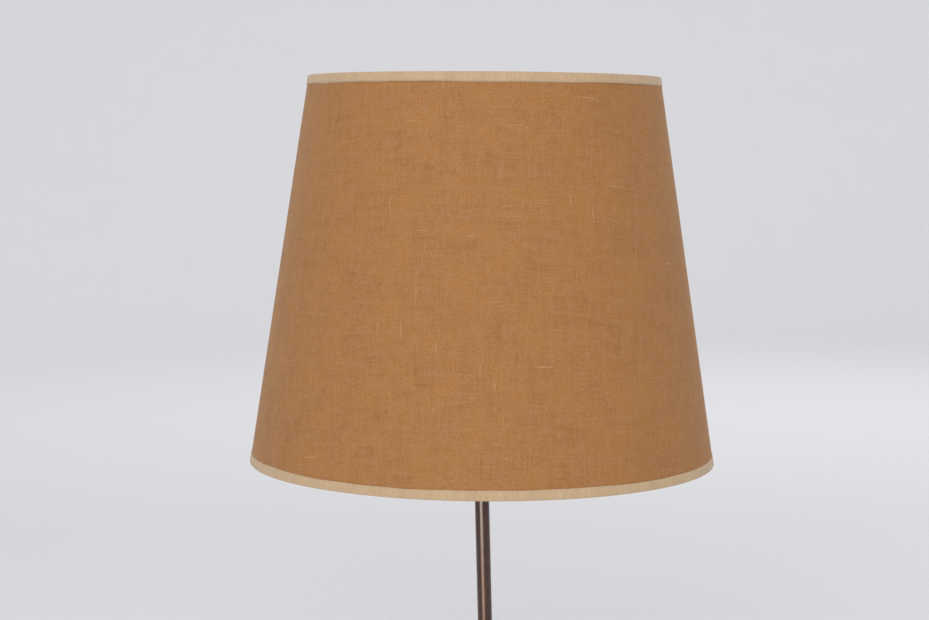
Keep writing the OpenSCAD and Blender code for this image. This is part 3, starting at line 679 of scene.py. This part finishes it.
def bore_out(piece, radius, centre, turn, depth=8 * MM):
    """Drills a round hole through a wall."""
    deselect()
    bpy.ops.mesh.primitive_cylinder_add(vertices=48, radius=radius, depth=depth)
    drill = bpy.context.object
    put(drill, Matrix.Translation(centre) @ turn)
    hole = piece.modifiers.new("hole", "BOOLEAN")
    hole.operation, hole.solver, hole.object = "DIFFERENCE", "EXACT", drill
    apply_all(piece)
    bpy.data.objects.remove(drill)


def block(name, size, place, round_by=0.0):
    """A rounded block: a cube stretched to size, its edges bevelled."""
    deselect()
    bpy.ops.mesh.primitive_cube_add(size=1, location=place)
    piece = bpy.context.object
    piece.name = name
    piece.scale = size
    bpy.ops.object.transform_apply(location=True, rotation=True, scale=True)
    if round_by:
        bpy.ops.object.mode_set(mode="EDIT")
        bpy.ops.mesh.select_all(action="SELECT")
        bpy.ops.mesh.bevel(offset=round_by, segments=3, affect="EDGES")
        bpy.ops.object.mode_set(mode="OBJECT")
    bpy.ops.object.shade_smooth_by_angle(angle=math.radians(40))
    return piece


def finish(piece, slot, body, *stands_for):
    """Gives a piece its material and its body, and puts it in place of the plain solids."""
    piece.data.materials.clear()
    piece.data.materials.append(materials[slot])
    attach(piece, body)
    if stands_for:
        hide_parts(*stands_for)
    return piece


# ---------------------------------------------------------------- the shade

# The cloth is cut from the flat as a ring sector about the cone's tip
CONE_TIP_TO_RIM = BOTTOM_R / math.sin(SLOPE)
SECTOR = 2 * math.pi * math.sin(SLOPE)
SLANT = SHADE_H / math.cos(SLOPE)
LAP, LAP_STEP = 11 * MM, 0.6 * MM
# The tape goes round the cloth, its film and the wire, and up inside
WIRE_GAP = 2 * WIRE_R + CLOTH_T + LINER_T
TAPE_INSIDE = 7.2 * MM
RIM_TURN = 0.9 * MM


def turn_across(i, lap):
    """The turn round the shade, from the back round to the back, at a part i of a sheet's width."""
    return -math.pi - lap / 2 + (2 * math.pi + lap) * i


def past_seam(turn, lap, edge):
    """0 over most of a sheet, and 1 where its last strip laps over its first."""
    return min(max((turn - (math.pi - lap / 2)) / edge + 0.5, 0), 1)


def place_in_cut(turn, j):
    """Where a place on the cone lies in the flat ring sector that it is cut from."""
    reach = CONE_TIP_TO_RIM - SLANT * j
    swing = turn * SECTOR / (2 * math.pi)
    return reach * math.sin(swing), -reach * math.cos(swing)


def ripple(turn, row, size):
    """A small fixed unevenness of hand-stuck cloth, round the shade and up it."""
    return size * (0.5 * math.sin(5 * turn + 0.7) + 0.3 * math.sin(13 * turn + 2.1 + 2.2 * row)
                   + 0.2 * math.sin(29 * turn + 0.3 - 3.1 * row))


def sheet_mesh(name, rows, columns, point, flat, closed):
    """A sheet of cloth as rows x columns of points. point and flat give a grid place's two positions."""
    verts = [point(i / columns, j / rows) for j in range(rows + 1) for i in range(columns + (not closed))]
    wide = columns if closed else columns + 1
    faces = []
    for j in range(rows):
        for i in range(columns):
            a, b = j * wide + i, j * wide + (i + 1) % wide
            faces.append((a, b, b + wide, a + wide))
    mesh = bpy.data.meshes.new(name)
    mesh.from_pydata(verts, [], faces)
    layer = mesh.uv_layers.new(name="flat_cut")
    for polygon in mesh.polygons:
        j, i = divmod(polygon.index, columns)
        for loop, (di, dj) in zip(polygon.loop_indices, ((0, 0), (1, 0), (1, 1), (0, 1))):
            layer.data[loop].uv = flat((i + di) / columns, (j + dj) / rows)
    piece = bpy.data.objects.new(name, mesh)
    bpy.context.scene.collection.objects.link(piece)
    choose(piece)
    bpy.ops.object.shade_smooth()
    return piece


def thicken(piece, thickness, offset):
    wall = piece.modifiers.new("wall", "SOLIDIFY")
    wall.thickness, wall.offset = thickness, offset
    wall.use_even_offset = True
    apply_all(piece)


def shade_cloth():
    """One piece of cloth wrapped round from a seam at the back, where its turned edge laps over."""
    lap = LAP / BOTTOM_R
    edge = 1.2 * MM / BOTTOM_R

    def point(i, j):
        turn = turn_across(i, lap)
        z = TAPE_T + (SHADE_H - 2 * TAPE_T) * j
        lift = past_seam(turn, lap, edge)
        radius = cloth_radius(z) + LAP_STEP * lift + ripple(turn, j, 0.12 * MM) * (1 - lift)
        return radius * math.sin(turn), -radius * math.cos(turn), z

    def flat(i, j):
        return place_in_cut(turn_across(i, lap), j)

    cloth = sheet_mesh("shade_cloth_linen", 36, 420, point, flat, closed=False)
    thicken(cloth, CLOTH_T, -1)
    put(cloth, shade_place())
    finish(cloth, "shade_cloth", "shade", "shade_cloth")


def shade_liner():
    """The stiff film behind the cloth, in one piece that laps over itself at the back."""
    lap = 9 * MM / BOTTOM_R
    edge = 0.8 * MM / BOTTOM_R
    margin, glue = 0.8 * MM, 0.02 * MM

    def point(i, j):
        turn = turn_across(i, lap)
        z = margin + (SHADE_H - 2 * margin) * j
        sink = past_seam(turn, lap, edge)
        radius = cloth_radius(z) - (CLOTH_T + glue) / math.cos(SLOPE) - LINER_T * sink
        return radius * math.sin(turn), -radius * math.cos(turn), z

    def flat(i, j):
        return place_in_cut(turn_across(i, lap), j)

    liner = sheet_mesh("shade_liner_film", 20, 360, point, flat, closed=False)
    thicken(liner, LINER_T, -1)
    put(liner, shade_place())
    finish(liner, "shade_liner", "shade", "shade_liner")


def tape_section():
    """The tape's path round a rim: [(distance out from the cloth's face, height from the rim)]."""
    inner = -WIRE_GAP - 0.5 * RIM_TURN
    path = [(TAPE_T * 0.6, TAPE_W), (TAPE_T, TAPE_W * 0.75), (TAPE_T, RIM_TURN)]
    path += [(TAPE_T - RIM_TURN + x, RIM_TURN + y) for x, y in arc((0, 0), RIM_TURN, 0, -90, 5)][1:]
    path += [(-WIRE_GAP + RIM_TURN, 0)]
    path += [(-WIRE_GAP - RIM_TURN / 4 + RIM_TURN + x, RIM_TURN + y)
             for x, y in arc((0, 0), RIM_TURN * 1.25, -90, -180, 5)][1:]
    path += [(inner, TAPE_INSIDE * 0.6), (inner, TAPE_INSIDE)]
    return path


def rim_tape(name, rim, way, node):
    """Tape folded over a rim: down the outside, round the edge and up inside past the wire."""
    path = tape_section()
    rows = len(path) - 1
    flat_w = TAPE_W + WIRE_GAP + TAPE_INSIDE

    def point(i, j):
        turn = 2 * math.pi * i
        out, up = path[round(j * rows)]
        up += ripple(turn, 3 * j, 0.5 * MM) * max(up / TAPE_W, 0)
        z = rim + way * up
        radius = cloth_radius(z) + out / math.cos(SLOPE) + ripple(3 * turn, j, 0.10 * MM)
        if out > -CLOTH_T:
            radius += LAP_STEP * math.exp(-((turn - math.pi) / (LAP / BOTTOM_R)) ** 4)
        return radius * math.sin(turn), -radius * math.cos(turn), z

    def flat(i, j):
        return 2 * math.pi * cloth_radius(rim) * i, flat_w * j

    tape = sheet_mesh(name, rows, 480, point, flat, closed=True)
    bpy.ops.object.mode_set(mode="EDIT")
    bpy.ops.mesh.select_all(action="SELECT")
    bpy.ops.mesh.normals_make_consistent(inside=False)
    bpy.ops.object.mode_set(mode="OBJECT")
    thicken(tape, TAPE_T, -1)
    put(tape, shade_place())
    finish(tape, "trim_tape", "shade", node)


# ---------------------------------------------------------------- the metalwork

def stem():
    """The bronzed tube, its ends chamfered."""
    bore = 5 * MM
    bottom, top = low("stem_tube").z, high("stem_tube").z
    chamfer = 0.4 * MM
    tube = turned("stem_bronzed", [
        (bore, bottom), (STEM_R - chamfer, bottom), (STEM_R, bottom + chamfer),
        (STEM_R, (bottom + top) / 2), (STEM_R, top - chamfer), (STEM_R - chamfer, top), (bore, top)], 96)
    finish(tube, "bronzed_metal", "lamp", "stem_tube")


def foot_cover():
    """A spun cover: rolled lower edge, rounded shoulder and a shallow dome that runs flat to the collar."""
    wall = 1.2 * MM
    shoulder = 5 * MM
    edge_h = 18 * MM
    hub = 16 * MM
    above_bead = 0.35 * MM
    bottom = low("foot_cover").z

    def dome(r):
        return edge_h + (FOOT_TOP - edge_h) * (1 - (max(r - hub, 0) / (FOOT_R - shoulder - hub)) ** 2)

    outer = [(FOOT_R - wall, bottom), (FOOT_R - 0.4 * MM, bottom), (FOOT_R, bottom + 0.5 * MM),
             (FOOT_R, bottom + 2.2 * MM), (FOOT_R - above_bead, bottom + 2.6 * MM),
             (FOOT_R - above_bead, edge_h - shoulder)]
    outer += [(r - above_bead, z) for r, z in
              list(arc((FOOT_R - shoulder, edge_h - shoulder), shoulder, 0, 90, 10))[1:-1]]
    outer += [(FOOT_R - shoulder - i * (FOOT_R - shoulder - hub) / 22,
               dome(FOOT_R - shoulder - i * (FOOT_R - shoulder - hub) / 22)) for i in range(0, 23)]
    outer += [(5.2 * MM, FOOT_TOP), (5.2 * MM, FOOT_TOP - wall)]
    inner = [(r, dome(r) - wall) for r in [hub + i * (FOOT_R - 2 * shoulder - hub) / 8 for i in range(9)]]
    inner += [(FOOT_R - wall - 1.6 * MM, edge_h - 3.4 * MM), (FOOT_R - wall, edge_h - shoulder - 1 * MM)]
    cover = turned("foot_spun_cover", outer + inner, 192, smooth=28)
    bush_z = (low("cable_bush").z + high("cable_bush").z) / 2
    bore_out(cover, 4.85 * MM, Vector((0, FOOT_R - 1 * MM, bush_z)), Matrix.Rotation(math.pi / 2, 4, "X"))
    finish(cover, "bronzed_metal", "lamp", "foot_cover")


def collar_and_ferrule():
    """The coved collar at the foot and the small ring under the lampholder."""
    z = low("stem_collar").z
    top = high("stem_collar").z
    r = high("stem_collar").x
    neck = STEM_R + 2.5 * MM
    cove = r - 1 * MM - neck
    outline = [(5.1 * MM, z), (r - 0.3 * MM, z), (r, z + 0.3 * MM), (r, z + 2.0 * MM),
               (r - 0.4 * MM, z + 2.5 * MM), (r - 1 * MM, z + 2.7 * MM), (r - 1 * MM, z + 3.3 * MM)]
    outline += [(r - 1 * MM - cove * math.sin(a), z + 3.5 * MM + cove * (1 - math.cos(a)))
                for a in (math.radians(9 * i) for i in range(1, 11))]
    outline += [(neck + 0.5 * MM, top - 2.6 * MM), (neck + 0.5 * MM, top - 1.6 * MM), (neck, top - 1.3 * MM),
                (neck, top - 0.7 * MM), (neck - 0.7 * MM, top), (STEM_R + 0.05 * MM, top),
                (STEM_R + 0.05 * MM, z + 5 * MM), (5.1 * MM, z + 5 * MM)]
    collar = turned("stem_collar_turned", outline, 96)
    finish(collar, "bronzed_metal", "lamp", "stem_collar")

    z, top, r = low("stem_ferrule").z, high("stem_ferrule").z, high("stem_ferrule").x
    ferrule = turned("stem_ferrule_turned", [
        (5.1 * MM, z), (r - 2 * MM, z), *arc((r - 1.4 * MM, z + 1.5 * MM), 1.4 * MM, -70, 70, 8),
        (r - 0.9 * MM, z + 3.2 * MM), (r - 0.9 * MM, top), (5.1 * MM, top)], 96)
    finish(ferrule, "bronzed_metal", "lamp", "stem_ferrule")


def felt_disc():
    """The felt under the foot, its edge rounded by the shears."""
    top = high("felt_pad").z
    r = high("felt_pad").x
    felt = turned("foot_felt", [
        (0, 0), *[(r * i / 12, 0) for i in range(1, 12)], (r - 0.7 * MM, 0.1 * MM),
        *arc((r - 0.8 * MM, 0.9 * MM), 0.8 * MM, -60, 60, 6), (r - 0.6 * MM, top), (0, top)], 160)
    finish(felt, "felt", "lamp", "felt_pad")


def cable_bush():
    """A rubber bush in the back of the foot, ribbed outside and flared where a cable would bend."""
    inner, outer = low("cable_bush").y, high("cable_bush").y
    bore = 3.4 * MM
    body, flange = 4.75 * MM, high("cable_bush").x
    lip = outer - 2 * MM
    outline = [(bore, inner), (body - 0.5 * MM, inner), (body, inner + 0.6 * MM)]
    for i in range(3):
        y = inner + (2.2 + 1.6 * i) * MM
        outline += [(body, y), (body - 0.4 * MM, y + 0.3 * MM), (body - 0.4 * MM, y + 0.7 * MM),
                    (body, y + 1 * MM)]
    outline += [(body, lip), (flange - 0.3 * MM, lip), (flange, lip + 0.4 * MM)]
    outline += list(arc((flange - 1 * MM, outer - 1 * MM), 1 * MM, 0, 90, 5))
    outline += [(bore + 0.5 * MM, outer), (bore + 0.1 * MM, outer - 0.3 * MM), (bore, outer - 0.8 * MM)]
    bush = turned("cable_bush_ribbed", outline, 64)
    centre_z = (low("cable_bush").z + high("cable_bush").z) / 2
    put(bush, Matrix.Translation((0, 0, centre_z)) @ Matrix.Rotation(-math.pi / 2, 4, "X"))
    finish(bush, "black_rubber", "lamp", "cable_bush")


# ---------------------------------------------------------------- the lampholder

def lampholder_cap():
    """The holder's cap: a neck, a dome that opens to the skirt's width, and a groove below its rim."""
    neck, neck_h = 8 * MM, 6 * MM
    dome = HOLDER_R - neck
    top = HOLDER_Z + 26 * MM
    z = HOLDER_Z
    outline = [(5.05 * MM, z), (neck - 0.4 * MM, z), (neck, z + 0.4 * MM), (neck, z + 4.6 * MM),
               (neck + 0.5 * MM, z + 5.4 * MM)]
    outline += [(neck + dome * math.sin(a), z + neck_h + dome * (1 - math.cos(a)))
                for a in (math.radians(6 * i) for i in range(2, 16))]
    outline += [(HOLDER_R, top - 5.4 * MM), (HOLDER_R - 0.35 * MM, top - 5.0 * MM),
                (HOLDER_R - 0.35 * MM, top - 4.2 * MM), (HOLDER_R, top - 3.8 * MM),
                (HOLDER_R, top - 0.5 * MM), (HOLDER_R - 0.5 * MM, top), (17.9 * MM, top),
                (17.9 * MM, top + 5 * MM), (16.3 * MM, top + 5 * MM), (16.3 * MM, top - 2 * MM),
                (15.1 * MM, top - 2 * MM), (15 * MM, top - 8 * MM), (12 * MM, z + 12 * MM),
                (5.05 * MM, z + 8.2 * MM)]
    cap = turned("lampholder_cap", outline, 128)
    finish(cap, "bronzed_metal", "lamp", "holder_cap")


def lampholder_skirt():
    """The threaded skirt: a plain wall with a true screw thread round it."""
    bottom, top = low("holder_skirt").z, SKIRT_TOP
    crest = high("holder_skirt").x
    root = crest - 0.8 * MM
    skirt = turned("lampholder_skirt", [
        (18 * MM, bottom), (root, bottom), (root, bottom + 2 * MM), (root, top - 1.2 * MM),
        *arc((root - 1 * MM, top - 1 * MM), 1 * MM, 0, 90, 5), (15.6 * MM, top), (14.9 * MM, top - 0.6 * MM),
        (14.9 * MM, top - 3 * MM), (16.6 * MM, top - 3 * MM), (16.6 * MM, bottom + 5.1 * MM),
        (18 * MM, bottom + 5.1 * MM)], 128)
    thread = thread_ridge("skirt_thread", root, crest, 2.5 * MM, bottom + 1.8 * MM, top - 3 * MM)
    finish(joined(skirt, thread), "bronzed_metal", "lamp", "holder_skirt")


def switch_key():
    """A flat round key with a hollowed face, a ribbed edge and a hub."""
    key_r, key_t = 8 * MM, 3.6 * MM
    x_end = high("switch_knob").x
    z = (low("switch_shaft").z + high("switch_shaft").z) / 2
    half, edge_r = key_t / 2, 0.9 * MM
    outline = [(0, -half + 0.8 * MM), (4.8 * MM, -half + 0.7 * MM), (6.2 * MM, -half + 0.1 * MM),
               (6.8 * MM, -half), *arc((key_r - edge_r, -half + edge_r), edge_r, -80, 0, 4),
               *arc((key_r - edge_r, half - edge_r), edge_r, 0, 80, 4), (6.8 * MM, half),
               (6.2 * MM, half - 0.1 * MM), (4.8 * MM, half - 0.7 * MM), (0, half - 0.8 * MM)]
    disc = turned("switch_key", outline, 72, closed=False)
    ribs = []
    for i in range(24):
        a = 2 * math.pi * i / 24
        rib = block("rib", (0.5 * MM, 0.7 * MM, key_t * 0.7), (0, 0, 0), 0.15 * MM)
        put(rib, Matrix.Rotation(a, 4, "Z") @ Matrix.Translation((key_r - 0.2 * MM, 0, 0)))
        ribs.append(rib)
    key = joined(disc, *ribs)
    put(key, Matrix.Translation((x_end - key_r - 0.05 * MM, 0, z)) @ Matrix.Rotation(math.pi / 2, 4, "X"))
    hub_r = 4.2 * MM
    hub_from = low("switch_knob").x
    hub = turned("switch_hub", [
        (2.5 * MM, 0), (hub_r - 0.4 * MM, 0), (hub_r, 0.4 * MM), (hub_r, 3.4 * MM),
        (hub_r - 0.3 * MM, 3.8 * MM), (hub_r - 1.2 * MM, 5.4 * MM), (0, 5.6 * MM), (0, 2.4 * MM),
        (2.5 * MM, 2.4 * MM)], 48)
    put(hub, Matrix.Translation((hub_from, 0, z)) @ Matrix.Rotation(math.pi / 2, 4, "Y"))
    finish(joined(key, hub), "black_plastic", "switch", "switch_knob")


# ---------------------------------------------------------------- the bulb

def bulb_glass():
    """Clear blown glass: a globe that draws in to its neck and the sealed tail inside the cap."""
    globe_z = BULB_TOP - BULB_R
    neck_top, cap_top = BULB_Z + 29.5 * MM, high("bulb_cap").z
    wall = 0.8 * MM

    def line(set_in):
        """Half the glass's outline from its top down to its neck, set in by its wall or not."""
        r, neck = BULB_R - set_in, 13.3 * MM - set_in
        down = math.radians(40)
        start = Vector((r * math.cos(down), globe_z - r * math.sin(down)))
        turn = Vector((neck + 0.1 * MM, start[1] - (start[0] - neck - 0.1 * MM) / math.tan(down)))
        end = Vector((neck, neck_top))
        points = [(r * math.cos(math.radians(a)), globe_z + r * math.sin(math.radians(a)))
                  for a in range(90, -40, -5)]
        for i in range(0, 13):
            t = i / 12
            points.append(tuple(start * (1 - t) ** 2 + turn * 2 * t * (1 - t) + end * t * t))
        return points

    tail = 11.2 * MM
    foot = low("bulb_glass").z
    outer = line(0) + [(12.8 * MM, cap_top + 1 * MM), (tail, cap_top - 0.5 * MM), (tail, foot)]
    inner = [(tail - wall, foot), (tail - wall, cap_top - 0.5 * MM)] + line(wall)[::-1]
    glass = turned("bulb_envelope", outer + inner, 96, closed=False)
    finish(glass, "clear_glass", "bulb", "bulb_glass")


def bulb_filament():
    """The filament, wound as a real coil and hung between its two leads."""
    left, right = low("filament").x, high("filament").x
    z = high("filament").z - 0.4 * MM
    coil_r, wire_r, pitch = 0.34 * MM, 0.07 * MM, 0.26 * MM
    turns = int((right - left) / pitch)
    deselect()
    bpy.ops.mesh.primitive_circle_add(vertices=6, radius=wire_r, fill_type="NGON", location=(coil_r, 0, 0),
                                      rotation=(math.pi / 2, 0, 0))
    coil = bpy.context.object
    coil.name = "filament_coil"
    bpy.ops.object.transform_apply(location=True, rotation=True, scale=True)
    screw = coil.modifiers.new("screw", "SCREW")
    screw.angle, screw.screw_offset, screw.iterations = 2 * math.pi, pitch, turns
    screw.steps = screw.render_steps = 10
    bpy.ops.object.modifier_apply(modifier="screw")
    put(coil, Matrix.Translation((left, 0, z)) @ Matrix.Rotation(math.pi / 2, 4, "Y"))
    bpy.ops.object.mode_set(mode="EDIT")
    bpy.ops.mesh.select_all(action="SELECT")
    bpy.ops.mesh.remove_doubles(threshold=1e-6)
    bpy.ops.mesh.normals_make_consistent(inside=False)
    bpy.ops.object.mode_set(mode="OBJECT")
    bpy.ops.object.shade_smooth()
    finish(coil, "tungsten", "bulb", "filament")


# ---------------------------------------------------------------- making the lamp

def dress_plain_nodes():
    """The pieces whose solids are already right get their materials."""
    slots = {part["node"]: part["material_slot"] for part in frame["record"]["subparts"]}
    for name, node in nodes.items():
        node.data.materials.clear()
        node.data.materials.append(materials[slots[name]])


set_camera()
studio_sweep()
studio_lights()
materials = lamp_materials()
dress_plain_nodes()
shade_liner()
shade_cloth()
rim_tape("bottom_rim_tape", 0, 1, "bottom_trim")
rim_tape("top_rim_tape", SHADE_H, -1, "top_trim")
stem()
foot_cover()
collar_and_ferrule()
felt_disc()
cable_bush()
lampholder_cap()
lampholder_skirt()
switch_key()
bulb_glass()
bulb_filament()

bpy.context.scene.view_settings.view_transform = "Standard"
